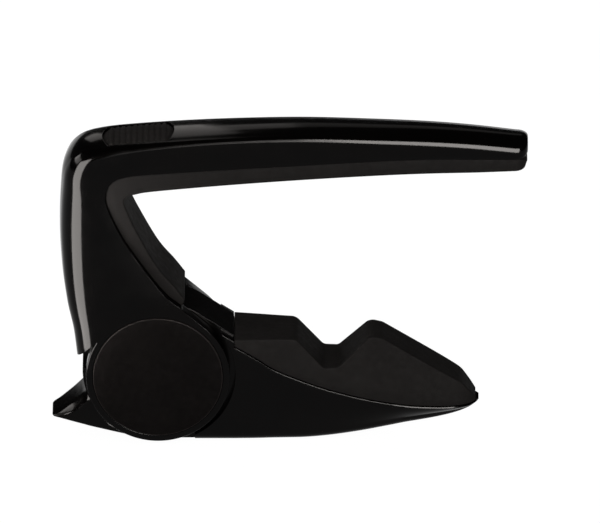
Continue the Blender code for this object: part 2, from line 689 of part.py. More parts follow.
def hull_ring(x, rim, rim_half, bottom_half, rise):
    """One cross-section of the hull of the jaw, flat on top and rounded underneath."""
    bottom = rise - HUB_RADIUS
    fillet = min(HULL_FILLET, (rim - bottom) * EDGE_SHARE, bottom_half * BOTTOM_SHARE)
    belly = min(HULL_BELLY, fillet)
    side = [(rim_half, rim), ((rim_half + bottom_half) / 2 + belly, (rim + bottom + fillet) / 2)]
    side += [(bottom_half - inward, bottom + fillet - along) for along, inward in quarter_round(fillet)]
    profile = side + [(-y, z) for y, z in reversed(side)]
    return [(x, y, z) for y, z in profile]


def window_angles():
    """The arc of the hub that is open for the release lever and its travel."""
    slack = GAP / HUB_RADIUS
    return LEVER_START - LEVER_TRAVEL - slack, LEVER_END + slack


def make_jaw(pivot):
    """The cast jaw: a hollow hub between the ears and a hull that carries the jaw pad."""
    rows = [(JAW_START, neck_height(JAW_START) - NECK_SHOULDER - GAP) + HULL[0][2:]]
    rows += [(NECK_END, neck_height(NECK_END) - NECK_SHOULDER) + HULL[0][2:]]
    jaw = piece("jaw_frame", loft([hull_ring(*row) for row in rows + list(HULL)]), "painted", pivot)
    for side in (-1, 1):
        ring = EAR_RADIUS + EAR_CLEARANCE
        cut(jaw, disc(ring, side * HUB_HALF, side * (EAR_OUTER + GAP), LARGE_SIDES), pivot)
    hub = arc(HUB_RADIUS, NECK_ANGLE, 1.5 * math.pi)
    hub += [(JAW_START + HULL_FILLET, HUB_FOOT_RISE - HUB_RADIUS), (NECK_END, -HUB_RADIUS / 2)]
    hub += [(NECK_END, neck_height(NECK_END))]
    cut(jaw, prism(hub, -HUB_HALF, HUB_HALF), pivot, "UNION")
    start, end = window_angles()
    cut(jaw, disc(CAVITY_RADIUS, -CAVITY_HALF, CAVITY_HALF + GAP, LARGE_SIDES), pivot)
    cut(jaw, disc(RIM_INNER, CAVITY_HALF, HUB_HALF + GAP, LARGE_SIDES), pivot)
    rim = sector(PLATE_RADIUS, HUB_RADIUS + GAP, start, end)
    web = sector(CAVITY_RADIUS - GAP, HUB_RADIUS + GAP, start, end)
    floor = WEB_SLOT_RISE - CAVITY_HALF
    step = floor - WEB_SLOT_RISE / 2
    levels = ((rim, -HUB_HALF - GAP), (rim, step), (web, floor), (web, HUB_HALF + GAP))
    cut(jaw, loft([[(x, y, z) for x, z in outline] for outline, y in levels]), pivot)
    cut(jaw, bush_seat(-1), pivot)
    depth = CAVITY_HALF - PLATE_SCREW_LENGTH
    for place in plate_screw_places():
        cut(jaw, disc(PLATE_SCREW_RADIUS + GAP, depth, CAVITY_HALF + GAP, SMALL_SIDES // 2, place), pivot)


def pad_stations():
    """x and height along the top of the jaw pad, closely spaced where it is curved."""
    outline = rounded_outline(CRADLE, ROUND_STEPS)
    extra = [(row[0], height_at(outline, row[0])) for row in HULL
             if outline[0][0] < row[0] < outline[-1][0]]
    merged = []
    for x, z in sorted(outline + extra):
        if not merged or x - merged[-1][0] > PAD_EDGE / 2:
            merged.append((x, z))
    return merged


def make_jaw_pad(pivot):
    """The rubber pad on the jaw, with the V-shaped cradle for the back of the neck."""
    rims = [(row[0], row[1]) for row in HULL]
    halves = [(row[0], row[2]) for row in HULL]
    rings = []
    for x, top in pad_stations():
        rim = height_at(rims, x) + GAP
        low_half = height_at(halves, x) - PAD_RIM
        top_half = low_half - PAD_DRAFT * (top - rim)
        edge = min(PAD_EDGE, (top - rim) / 2)
        side = [(low_half, rim)]
        side += [(top_half - inward, top - edge + along) for along, inward in quarter_round(edge)]
        profile = side + [(-y, z) for y, z in reversed(side)]
        rings.append([(x, y, z) for y, z in profile])
    piece("jaw_pad", loft(rings), "rubber", pivot)


def plate_screw_places():
    """Centres of the screws around the side plate."""
    return [polar(PLATE_SCREW_CIRCLE, math.radians(angle)) for angle in PLATE_SCREW_ANGLES]


def make_side_plate(pivot):
    """The plate that closes the hub and carries the rear bush and the anchor pin."""
    inner = CAVITY_HALF + GAP
    plate = piece("hub_side_plate", disc(PLATE_RADIUS, inner, HUB_HALF, LARGE_SIDES), "satin", pivot)
    cut(plate, bush_seat(1), pivot)
    x, z = tang_pin_centre(1)
    hole = disc(TANG_PIN_RADIUS + GAP, inner - GAP, HUB_HALF + GAP, SMALL_SIDES, (x, z))
    cut(plate, hole, pivot)
    seat = HUB_HALF - PLATE_SCREW_HEAD - GAP
    for number, place in enumerate(plate_screw_places(), start=1):
        profile = ((0.0, inner - GAP), (PLATE_SCREW_RADIUS + GAP, inner - GAP),
                   (PLATE_SCREW_RADIUS + GAP, seat), (PLATE_SCREW_HEAD_RADIUS + GAP, seat),
                   (PLATE_SCREW_HEAD_RADIUS + GAP, HUB_HALF + GAP), (0.0, HUB_HALF + GAP))
        cut(plate, turned(profile, SMALL_SIDES // 2, place), pivot)
        make_plate_screw(f"plate_screw_{number}", place, pivot)


def make_plate_screw(name, place, pivot):
    """A small screw that holds the side plate to the hub."""
    seat = HUB_HALF - PLATE_SCREW_HEAD
    tip = CAVITY_HALF - PLATE_SCREW_LENGTH + GAP
    profile = ((0.0, tip), (PLATE_SCREW_RADIUS, tip), (PLATE_SCREW_RADIUS, seat),
               (PLATE_SCREW_HEAD_RADIUS, seat), (PLATE_SCREW_HEAD_RADIUS, HUB_HALF),
               (PLATE_SOCKET_RADIUS, HUB_HALF), (PLATE_SOCKET_RADIUS, HUB_HALF - SOCKET_DEPTH),
               (0.0, HUB_HALF - SOCKET_DEPTH))
    piece(name, turned(profile, SMALL_SIDES // 2, place), "steel", pivot)


def make_tang_pins(pivot):
    """The anchor pin in the side plate and the release pin in the lever."""
    back = HUB_HALF - GAP
    anchor = disc(TANG_PIN_RADIUS, back - TANG_PIN_LENGTH, back, SMALL_SIDES, tang_pin_centre(1))
    piece("anchor_pin", anchor, "steel", pivot)
    front = WEB_FRONT + GAP / 2
    release = disc(TANG_PIN_RADIUS, front, front + TANG_PIN_LENGTH, SMALL_SIDES, tang_pin_centre(0))
    piece("release_pin", release, "steel", pivot)


# ---------------------------------------------------------------- release lever
def tail_ring(x, top, bottom, half):
    """One cross-section of the tail of the lever, rounded along its four edges."""
    edge = min(TAIL_EDGE, (top - bottom) * EDGE_SHARE)
    side = [(half - inward, top - edge + along) for along, inward in quarter_round(edge)]
    lower = [(half - inward, bottom + edge - along) for along, inward in quarter_round(edge)]
    right = list(reversed(side)) + lower
    profile = right + [(-y, z) for y, z in reversed(right)]
    return [(x, y, z) for y, z in profile]


def make_lever(pivot):
    """The release lever: a ring on the drum, a web, a rim under the spine and the tail."""
    rim = prism(sector(RIM_INNER, HUB_RADIUS, LEVER_START, LEVER_END), -HUB_HALF, HUB_HALF)
    lever = piece("release_lever", rim, "painted", pivot)
    seat = HUB_RADIUS - TAIL_SINK
    root = [(x, -math.sqrt(seat * seat - x * x), lower, half) for x, lower, half in TAIL_ROOT]
    cut(lever, loft([tail_ring(*row) for row in list(TAIL) + root]), pivot, "UNION")
    slack = GAP / RIM_INNER
    web = sector(LEVER_RING_RADIUS - GAP, RIM_INNER + GAP, LEVER_START + slack, LEVER_END - slack)
    cut(lever, prism(web, WEB_FRONT, WEB_BACK), pivot, "UNION")
    cut(lever, disc(LEVER_RING_RADIUS, WEB_FRONT, WEB_BACK, LARGE_SIDES), pivot, "UNION")
    cut(lever, disc(DRUM_RADIUS + GAP, WEB_FRONT - GAP, WEB_BACK + GAP, LARGE_SIDES // 2), pivot)
    hole = disc(TANG_PIN_RADIUS + GAP, WEB_FRONT - GAP, WEB_BACK + GAP, SMALL_SIDES, tang_pin_centre(0))
    cut(lever, hole, pivot)


def main():
    clear_scene()
    pivot = bpy.data.objects.new("jaw_pivot", None)
    bpy.context.scene.collection.objects.link(pivot)
    pivot.location = PIVOT
    make_arm(pivot)
    make_string_pad(pivot)
    make_cover("front_cover", -1, pivot)
    make_cover("rear_cover", 1, pivot)
    make_shaft(pivot)
    make_drum(pivot)
    make_shaft_screw("front_shaft_screw", -1, pivot)
    make_shaft_screw("rear_shaft_screw", 1, pivot)
    make_jaw(pivot)
    make_jaw_pad(pivot)
    make_side_plate(pivot)
    make_bush("front_bush", -1, pivot)
    make_bush("rear_bush", 1, pivot)
    make_spring(pivot)
    make_tang_pins(pivot)
    make_lever(pivot)


main()
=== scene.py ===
"""Looks of the guitar capo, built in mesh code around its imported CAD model.

Units are metres.  The outlines are drawn around the jaw pivot and moved to its place in the
row frame.  The castings are smooth lofts with trimmed and rounded edges, the rubber pieces
are closed moulded forms, and every material is made of nodes.
"""
import math

import bmesh
import bpy
from mathutils import Matrix, Vector


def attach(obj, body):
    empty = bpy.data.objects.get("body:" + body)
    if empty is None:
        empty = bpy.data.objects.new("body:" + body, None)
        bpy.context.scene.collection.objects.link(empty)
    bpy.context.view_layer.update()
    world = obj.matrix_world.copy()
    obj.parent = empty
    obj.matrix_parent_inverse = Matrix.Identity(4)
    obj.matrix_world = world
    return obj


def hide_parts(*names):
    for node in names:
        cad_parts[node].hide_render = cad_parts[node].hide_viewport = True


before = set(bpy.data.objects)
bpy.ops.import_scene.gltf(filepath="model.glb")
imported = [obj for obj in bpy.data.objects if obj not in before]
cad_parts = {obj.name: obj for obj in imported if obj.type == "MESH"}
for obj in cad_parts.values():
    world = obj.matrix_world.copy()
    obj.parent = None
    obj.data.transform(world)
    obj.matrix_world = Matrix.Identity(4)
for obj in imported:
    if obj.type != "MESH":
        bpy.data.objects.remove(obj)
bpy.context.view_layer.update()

PIVOT = Vector((-0.02495, 0.0, 0.0143))
FINE = 0.0001                # visible seam between pieces that seat on each other
GAP = 0.0003                 # clearance of the hidden pieces that run on each other
OVERCUT = 0.0003             # how far a cutting helper reaches past the face that it opens
OUTSIDE = 0.0090             # half a width that lies outside every piece
CURVE_STEPS = 8              # spans drawn between two stations of a smooth outline
ROUND_STEPS = 6              # spans in a quarter-round edge
ROUND_SIDES = 160            # facets of the hub, the ears and the covers
SHARP_ANGLE = 30.0           # degrees; faces of a casting that meet at more keep a sharp edge
MOULDED_SHARP = 40.0         # the same for moulded and turned pieces

HUB_RADIUS = 0.0143
HUB_HALF = 0.0048
HUB_SLOT_ROOM = 0.0002       # air between the hub and the slot of the arm
HUB_FOOT_RISE = 0.00005      # step from the underside of the hull up to the hub
CHEEK = 0.0014               # wall of the hub beside the clutch
CAVITY_RADIUS = 0.0100
PLATE_RADIUS = 0.0128
CHEEK_OPENING = 0.0063       # radius of the hole through the hub's front wall
EAR_RADIUS = 0.01364
EAR_INNER = 0.0051
EAR_OUTER = 0.00768
EAR_EDGE = 0.00020
EAR_ROUND_FROM = math.radians(149.0)
EAR_EDGE_ANGLE = math.radians(48.4)    # where the straight upper edge leaves the ear
EAR_EDGE_RUN = 0.0068
COVER_RADIUS = 0.0123
COVER_SEAT = 0.0067
COVER_FACE = 0.00790
COVER_EDGE = 0.00016
COVER_FACE_RINGS = (0.010, 0.0075, 0.005, 0.0025, 0.0)
SCREW_HEAD_RADIUS = 0.0043
SHAFT_END = 0.0059
SHAFT_BORE = 0.0033
RECESS_TOP = EAR_OUTER + 0.001         # outer end of the helper that cuts a cover's recess
LEVER_START = math.radians(178.0)
LEVER_END = math.radians(251.5)
LEVER_TRAVEL = math.radians(12.0)
LEVER_RING_RADIUS = 0.0092
LEVER_RING_BORE = 0.0053
LEVER_WEB_INNER = 0.0089
LEVER_WEB_FRONT = -0.0031
LEVER_WEB_BACK = -0.0017
WEB_SLOT_RISE = 0.000075     # floor of the web's slot above the floor of the cavity
NECK_ANGLE = math.radians(55.0)
NECK_END = 0.0144
NECK_SHOULDER = 0.0004
JAW_START = 0.0070
JAW_CLOSING = math.radians(28.0)
EAR_CLEARANCE = 0.00106      # ring of air between an ear and the wide hull
HULL_FILLET = 0.0016
HULL_LIP = 0.00032           # rounding of the rim
HULL_BELLY = 0.00025         # bulge of the sides at half height

# tail of the lever: x, upper surface, lower surface, half width
TAIL = (
    (-0.0201, -0.01035, -0.01055, 0.0024),
    (-0.0197, -0.01010, -0.01063, 0.0032),
    (-0.0183, -0.00930, -0.01075, 0.0039),
    (-0.0160, -0.00750, -0.01120, 0.0044),
    (-0.0142, -0.00585, -0.01158, 0.0047),
    (-0.0129, -0.00468, -0.01187, 0.0049),
    (-0.0114, -0.00700, -0.01226, 0.0049),
    (-0.0090, -0.01033, -0.01287, 0.0049),
    (-0.0060, -0.01232, -0.01360, 0.0049),
    (-0.0050, -0.01276, -0.01380, 0.0048),
)
TAIL_FRONT_EDGE = 0.0026     # round of the tail's upper edges
TAIL_BACK_EDGE = 0.0009
TAIL_UNDER_EDGE = 0.0003
# hull of the jaw: x, rim height, half width at the rim, half width at the bottom, bottom
HULL = (
    (0.0145, 0.00575, 0.00660, 0.0063, -0.0143),
    (0.0187, 0.00312, 0.00655, 0.0062, -0.0143),
    (0.0221, 0.00080, 0.00650, 0.0060, -0.0143),
    (0.0272, -0.00157, 0.00635, 0.0058, -0.0143),
    (0.0323, -0.00357, 0.00615, 0.0054, -0.01405),
    (0.0378, -0.00528, 0.00590, 0.0048, -0.0135),
    (0.0425, -0.00643, 0.00565, 0.0043, -0.0128),
    (0.0477, -0.00732, 0.00540, 0.0038, -0.0119),
    (0.0528, -0.00771, 0.00505, 0.0032, -0.01105),
    (0.0565, -0.00785, 0.00450, 0.0026, -0.01022),
    (0.0590, -0.00785, 0.00350, 0.0018, -0.00942),
    (0.0603, -0.00770, 0.00220, 0.0010, -0.00872),
    (0.0609, -0.00755, 0.00100, 0.0005, -0.0083),
)
# cradle of the jaw pad: corner x, z and rounding
CRADLE = (
    (0.01450, 0.00705, 0.0),
    (0.0262, 0.00668, 0.0020),
    (0.03145, 0.00070, 0.0012),
    (0.03425, 0.00070, 0.0012),
    (0.0402, 0.00672, 0.0020),
    (0.0426, 0.00622, 0.0022),
    (0.0576, -0.00325, 0.0040),
    (0.0604, -0.00690, 0.0),
)
# arm: top point, seat point, face point, half width, front and back edge rounding, crown,
# pad half width
ARM = (
    ((0.0678, 0.04735), (0.0678, 0.0438), (0.0674, 0.04128), 0.00385, 0.0018, 0.0007, 0.0008, 0.00370),
    ((0.0600, 0.04822), (0.0600, 0.04395), (0.0600, 0.04110), 0.00410, 0.0017, 0.0007, 0.0008, 0.00395),
    ((0.0520, 0.04882), (0.0520, 0.04400), (0.0520, 0.04100), 0.00435, 0.0016, 0.0007, 0.0008, 0.00415),
    ((0.0420, 0.0492), (0.0425, 0.04380), (0.0423, 0.04070), 0.00460, 0.0014, 0.0007, 0.0008, 0.00440),
    ((0.0270, 0.0495), (0.0280, 0.04300), (0.0280, 0.03990), 0.00485, 0.0011, 0.0007, 0.0008, 0.00460),
    ((0.0110, 0.04895), (0.0125, 0.04220), (0.0130, 0.0389), 0.00520, 0.0009, 0.0007, 0.0008, 0.00495),
    ((-0.0030, 0.0480), (-0.0015, 0.0414), (-0.0005, 0.0378), 0.00560, 0.0012, 0.0010, 0.0008, 0.00535),
    ((-0.0107, 0.0470), (-0.0063, 0.0409), (-0.0041, 0.0373), 0.00590, 0.0018, 0.0015, 0.0007, 0.00560),
    ((-0.0151, 0.0454), (-0.0087, 0.0397), (-0.0057, 0.0368), 0.00610, 0.0026, 0.0020, 0.0006, 0.00575),
    ((-0.0176, 0.0419), (-0.0097, 0.0376), (-0.0063, 0.0359), 0.00630, 0.0034, 0.0025, 0.0005, 0.00590),
    ((-0.01830, 0.0364), (-0.0094, 0.0348), (-0.0057, 0.0340), 0.00650, 0.0040, 0.0029, 0.0004, 0.00595),
    ((-0.01852, 0.0285), (-0.00655, 0.0286), (-0.00395, 0.0299), 0.00690, 0.0042, 0.0031, 0.0003, 0.00610),
    ((-0.01812, 0.0205), (-0.0018, 0.02125), (-0.00005, 0.0225), 0.00740, 0.0041, 0.0033, 0.0003, 0.00620),
    ((-0.0173, 0.0145), (0.00165, 0.0168), (0.0032, 0.0183), EAR_OUTER, 0.0039, 0.0035, 0.0002, 0.00625),
    ((-0.0167, 0.0115), (0.00464, 0.01425), (0.00515, 0.0156), EAR_OUTER, 0.0037, 0.0035, 0.0002, 0.00625),
)
# the arm's last two stations, below the string pad: no face point and no pad half width
ARM_FOOT = (
    ((-0.01600, 0.0080), (0.0040, 0.0080), EAR_OUTER, 0.0035, 0.0034, 0.0002),
    ((-0.0152, 0.0009), (-0.0030, 0.0009), EAR_OUTER, 0.0033, 0.0033, 0.0002),
)
# lower end of the spine: a slanted face, from the back to the round of the ear
FOOT_CUT = (
    (-0.0195, -0.0009), (-0.0117, 0.0072), (-0.0040, 0.0072), (-0.0040, -0.0060), (-0.0195, -0.0060),
)
TOP = 0.0495                 # highest point of the arm
BAR_NOSE = 0.0022            # length of the rounded metal tip
PAD_NOSE = 0.0021            # length of the rounded end of the string pad
NOSE_STEPS = 8
CROWN_STEPS = 6
SEAT_EDGE = 0.00025          # small rounding where the metal meets the string pad
CROWN_SHARE = 0.7            # crown of the casting's back beside that of its solid

STRING_PAD_EDGE = 0.00035    # rounding of the face's edges
STRING_PAD_SWELL = 0.0001    # added to the half width and the depth of its stations
STRING_PAD_SOFT = 0.0002     # last rounding of what is still sharp
# lip of the string pad beside the metal: rise from the seat, and step in from its side
STRING_PAD_LIP = ((0.00004, 0.00012), (0.00010, 0.00003), (0.00022, 0.0))
JAW_PAD_EDGE = 0.00040
JAW_PAD_SOFT = 0.00022
JAW_PAD_LIFT = 0.00003       # seam between the jaw pad and the rim of the hull
JAW_PAD_INSET = 0.00024      # how far that rim stands outside the pad
JAW_PAD_DRAFT = 0.12         # lean of the pad's sides
JAW_PAD_STATION = 0.00012    # least distance from one of its sections to the next

GRIP_START = -0.0103
GRIP_END = 0.0031
GRIP_HALF = 0.0040
GRIP_BOW = 0.0011            # how far its ends curve in at the sides
GRIP_FLOOR = 0.0452
GRIP_POCKET_TOP = 0.052
GRIP_SINK = 0.00018          # depth of the base between the ribs below the metal
GRIP_END_RUN = 0.0007        # length over which the base drops at both ends
GRIP_END_DROP = 0.0003
GRIP_STATIONS = 280
# side edge of the grip: step in from the side, and drop below the base
GRIP_SIDE = ((0.0, 0.0006), (0.0001, 0.00025), (0.0002, 0.00010))
GRIP_FLAT_INSET = 0.0004
GRIP_CROWN = 0.00052
GRIP_SHOULDER = 0.0042       # half width of the crowned back along the grip
RIB_HEIGHT = 0.00022
RIB_COUNT = 10
RIB_FIRST = -0.0086
RIB_PITCH = 0.0011

FLOOR_GLOW = 0.90            # how much of the floor's white it gives by itself
FLOOR_WHITE = 1.08
FLOOR_REACH = 4.0
FLOOR_DROP = 0.00005         # how far the floor lies below the capo
WORLD_LEVEL = 0.30           # light that the world gives to matt surfaces
WORLD_WHITE_TO = -0.005      # end of the horizon's white in gloss, as a direction's Z
WORLD_DARK_FROM = 0.015
WORLD_OVERHEAD = 0.03        # level of the dark part, beside white
DISC_RINGS = 26000.0         # radians of the turned rings of a cover in a metre of radius
DISC_HIGHLIGHT_START = 0.00020    # painted highlight round a cover's edge: lighter colour from this far in from its rim
DISC_HIGHLIGHT_END = 0.00008
SOFTBOX_TINT = (1.0, 0.98, 0.96)
PANEL_TINT = (1.0, 0.955, 0.92)

CAMERA_ELEVATION = math.radians(26.0)
CAMERA_TARGET = Vector((0.00200, 0.0, 0.03489))
CAMERA_DISTANCE = 3.5
CAMERA_CLIP_END = 20.0
SENSOR_WIDTH = 36.0          # millimetres
FRAME_WIDTH = 0.11368        # width of the picture at the capo


# ---------------------------------------------------------------- mesh helpers
def new_mesh(points, faces):
    """A mesh of the given faces, with its normals turned outward."""
    work = bmesh.new()
    corners = [work.verts.new(point) for point in points]
    for face in faces:
        work.faces.new([corners[index] for index in face])
    bmesh.ops.recalc_face_normals(work, faces=work.faces)
    data = bpy.data.meshes.new("solid")
    work.to_mesh(data)
    work.free()
    return data


def place(name, data, shift=True):
    """Put a mesh into the scene, and move it from the pivot's frame to the row frame."""
    if shift:
        data.transform(Matrix.Translation(PIVOT))
    made = bpy.data.objects.new(name, data)
    bpy.context.scene.collection.objects.link(made)
    return made


def loft(rings):
    """Join rings with equal numbers of points into a closed solid."""
    count = len(rings[0])
    points = [point for ring in rings for point in ring]
    faces = [list(range(count)), list(range(len(points) - count, len(points)))]
    for level in range(len(rings) - 1):
        base = level * count
        for side in range(count):
            ahead = (side + 1) % count
            faces.append((base + side, base + ahead, base + count + ahead, base + count + side))
    return new_mesh(points, faces)


def prism(outline, front, back):
    """A solid with an outline in x and z, from one y to another."""
    return loft([[(x, y, z) for x, z in outline] for y in (front, back)])


def turned(profile, sides=ROUND_SIDES):
    """Turn a profile of (radius, y) points about the pivot's axis."""
    points = []
    starts = []
    for radius, y in profile:
        starts.append(len(points))
        spokes = sides if radius > 0.0 else 1
        for side in range(spokes):
            angle = 2 * math.pi * side / sides
            points.append((radius * math.cos(angle), y, radius * math.sin(angle)))
    faces = []
    for level in range(len(profile) - 1):
        here, there = starts[level], starts[level + 1]
        here_point = profile[level][0] == 0.0
        there_point = profile[level + 1][0] == 0.0
        for side in range(sides):
            ahead = (side + 1) % sides
            ring = [here] if here_point else [here + side, here + ahead]
            ring += [there] if there_point else [there + ahead, there + side]
            faces.append(ring)
    return new_mesh(points, faces)


def disc(radius, front, back, sides=ROUND_SIDES):
    return turned(((0.0, front), (radius, front), (radius, back), (0.0, back)), sides)


def polar(radius, angle):
    return radius * math.cos(angle), radius * math.sin(angle)


def arc(radius, start, end):
    spans = max(2, round(abs(end - start) / (2 * math.pi) * ROUND_SIDES))
    return [polar(radius, start + (end - start) * k / spans) for k in range(spans + 1)]


def sector(inner, outer, start, end):
    return arc(outer, start, end) + arc(inner, end, start)


def smooth_rows(rows, steps):
    """Put more rows between the given ones, on a smooth curve through all of them."""
    padded = [rows[0]] + list(rows) + [rows[-1]]
    result = []
    for index in range(len(rows) - 1):
        before, start, end, after = padded[index:index + 4]
        for step in range(steps):
            t = step / steps
            weights = (
                (-t + 2 * t * t - t ** 3) / 2,
                (2 - 5 * t * t + 3 * t ** 3) / 2,
                (t + 4 * t * t - 3 * t ** 3) / 2,
                (t ** 3 - t * t) / 2,
            )
            columns = zip(before, start, end, after)
            result.append([sum(w * v for w, v in zip(weights, column)) for column in columns])
    result.append(list(rows[-1]))
    return result


def rounded_outline(corners, steps):
    """Draw a line of (x, z, radius) corners, with an arc in place of each inner one."""
    result = [corners[0][:2]]
    for index in range(1, len(corners) - 1):
        corner = Vector(corners[index][:2])
        back = (Vector(corners[index - 1][:2]) - corner).normalized()
        ahead = (Vector(corners[index + 1][:2]) - corner).normalized()
        half = back.angle(ahead) / 2
        radius = corners[index][2]
        start = corner + back * radius / math.tan(half)
        end = corner + ahead * radius / math.tan(half)
        middle = corner + (back + ahead).normalized() * radius / math.sin(half)
        first = (start - middle).normalized()
        last = (end - middle).normalized()
        turn = first.angle(last)
        for step in range(steps + 1):
            share = step / steps
            low = math.sin((1 - share) * turn) / math.sin(turn)
            high = math.sin(share * turn) / math.sin(turn)
            result.append(tuple(middle + (first * low + last * high) * radius))
    result.append(corners[-1][:2])
    return result


def height_at(points, x):
    """Height at x of a line of (x, z) points, which stays level past its ends."""
    ordered = sorted(points)
    for (x0, z0), (x1, z1) in zip(ordered, ordered[1:]):
        if x0 <= x <= x1:
            return z0 + (z1 - z0) * (x - x0) / (x1 - x0)
    return ordered[0][1] if x < ordered[0][0] else ordered[-1][1]


def quarter_round(radius, steps=ROUND_STEPS):
    """Points of a rounded edge, each as its distance along the side and inward from it."""
    angles = [math.pi / 2 * k / steps for k in range(steps + 1)]
    return [(radius * math.sin(a), radius * (1 - math.cos(a))) for a in angles]


def cut(target, data, operation="DIFFERENCE"):
    """Take a helper solid from a piece, or join it on, and keep only the finished mesh."""
    helper = place("helper", data)
    step = target.modifiers.new("cut", "BOOLEAN")
    step.operation = operation
    step.solver = "EXACT"
    step.object = helper
    settle(target)
    bpy.data.objects.remove(helper, do_unlink=True)


def settle(target):
    """Keep what the modifiers of a piece make of it, and drop the modifiers."""
    bpy.context.view_layer.update()
    graph = bpy.context.evaluated_depsgraph_get()
    made = bpy.data.meshes.new_from_object(target.evaluated_get(graph))
    target.modifiers.clear()
    target.data = made


def soften(target, width):
    """Round the edges of a moulded piece that are still sharp."""
    work = bmesh.new()
    work.from_mesh(target.data)
    bmesh.ops.remove_doubles(work, verts=work.verts, dist=1e-6)
    bmesh.ops.dissolve_degenerate(work, dist=2e-6, edges=work.edges)
    work.to_mesh(target.data)
    work.free()
    step = target.modifiers.new("edges", "BEVEL")
    step.width = width
    step.segments = 2
    step.limit_method = "ANGLE"
    step.angle_limit = math.radians(MOULDED_SHARP)
    step.use_clamp_overlap = True
    step.harden_normals = False
    settle(target)


def finish_normals(target, angle=SHARP_ANGLE):
    target.data.shade_smooth()
    target.data.set_sharp_from_angle(angle=math.radians(angle))


# ---------------------------------------------------------------- materials
def material(name):
    made = bpy.data.materials.new(name)
    made.use_nodes = True
    tree = made.node_tree
    shader = tree.nodes["Principled BSDF"]
    return made, tree, shader


def noise(tree, scale, detail, rough=0.55, distortion=0.0):
    where = tree.nodes.new("ShaderNodeTexCoord")
    made = tree.nodes.new("ShaderNodeTexNoise")
    made.inputs["Scale"].default_value = scale
    made.inputs["Detail"].default_value = detail
    made.inputs["Roughness"].default_value = rough
    made.inputs["Distortion"].default_value = distortion
    tree.links.new(where.outputs["Object"], made.inputs["Vector"])
    return made.outputs["Fac"]


def ramp(tree, source, low, high, start, end):
    """Turn a value into a colour, from low at start to high at end."""
    made = tree.nodes.new("ShaderNodeValToRGB")
    made.color_ramp.elements[0].position = start
    made.color_ramp.elements[1].position = end
    made.color_ramp.elements[0].color = low
    made.color_ramp.elements[1].color = high
    tree.links.new(source, made.inputs["Fac"])
    return made.outputs["Color"]


def spread(tree, source, low, high, start=0.3, end=0.7):
    """Turn a value into a number, from low at start to high at end."""
    made = tree.nodes.new("ShaderNodeMapRange")
    made.inputs["From Min"].default_value = start
    made.inputs["From Max"].default_value = end
    made.inputs["To Min"].default_value = low
    made.inputs["To Max"].default_value = high
    tree.links.new(source, made.inputs["Value"])
    return made.outputs["Result"]


def bump(tree, shader, source, strength, distance, before=None):
    made = tree.nodes.new("ShaderNodeBump")
    made.inputs["Strength"].default_value = strength
    made.inputs["Distance"].default_value = distance
    tree.links.new(source, made.inputs["Height"])
    if before:
        tree.links.new(before, made.inputs["Normal"])
    tree.links.new(made.outputs["Normal"], shader.inputs["Normal"])
    return made.outputs["Normal"]


def enamel():
    """Gloss black enamel: faint ripple of the sprayed coat, dust in it, and rubbed patches."""
    made, tree, shader = material("enamel_black")
    patch = noise(tree, 90.0, 5.0)
    colour = ramp(tree, patch, (0.0010, 0.0008, 0.0008, 1), (0.0017, 0.0013, 0.0012, 1), 0.35, 0.7)
    tree.links.new(colour, shader.inputs["Base Color"])
    tree.links.new(spread(tree, noise(tree, 260.0, 6.0), 0.10, 0.16), shader.inputs["Roughness"])
    shader.inputs["Specular IOR Level"].default_value = 0.05
    edges = tree.nodes.new("ShaderNodeBevel")
    edges.samples = 6
    edges.inputs["Radius"].default_value = 0.00016
    ripple = bump(tree, shader, noise(tree, 700.0, 3.0), 0.10, 0.00004, edges.outputs["Normal"])
    bump(tree, shader, noise(tree, 4200.0, 2.0), 0.05, 0.00001, ripple)
    return made


def rubber(name, level):
    """Moulded matt rubber: fine mould grain, cloudy bloom and a few lighter scuffs."""
    made, tree, shader = material(name)
    cloud = noise(tree, 140.0, 6.0, 0.6, 0.4)
    low = (level, 0.885 * level, 0.84 * level, 1)
    high = (1.5 * level, 1.35 * level, 1.28 * level, 1)
    tree.links.new(ramp(tree, cloud, low, high, 0.35, 0.7), shader.inputs["Base Color"])
    tree.links.new(spread(tree, noise(tree, 900.0, 4.0), 0.66, 0.82), shader.inputs["Roughness"])
    shader.inputs["Specular IOR Level"].default_value = 0.022
    coarse = bump(tree, shader, noise(tree, 2600.0, 3.0), 0.22, 0.00004)
    bump(tree, shader, noise(tree, 9000.0, 2.0), 0.20, 0.00002, coarse)
    return made


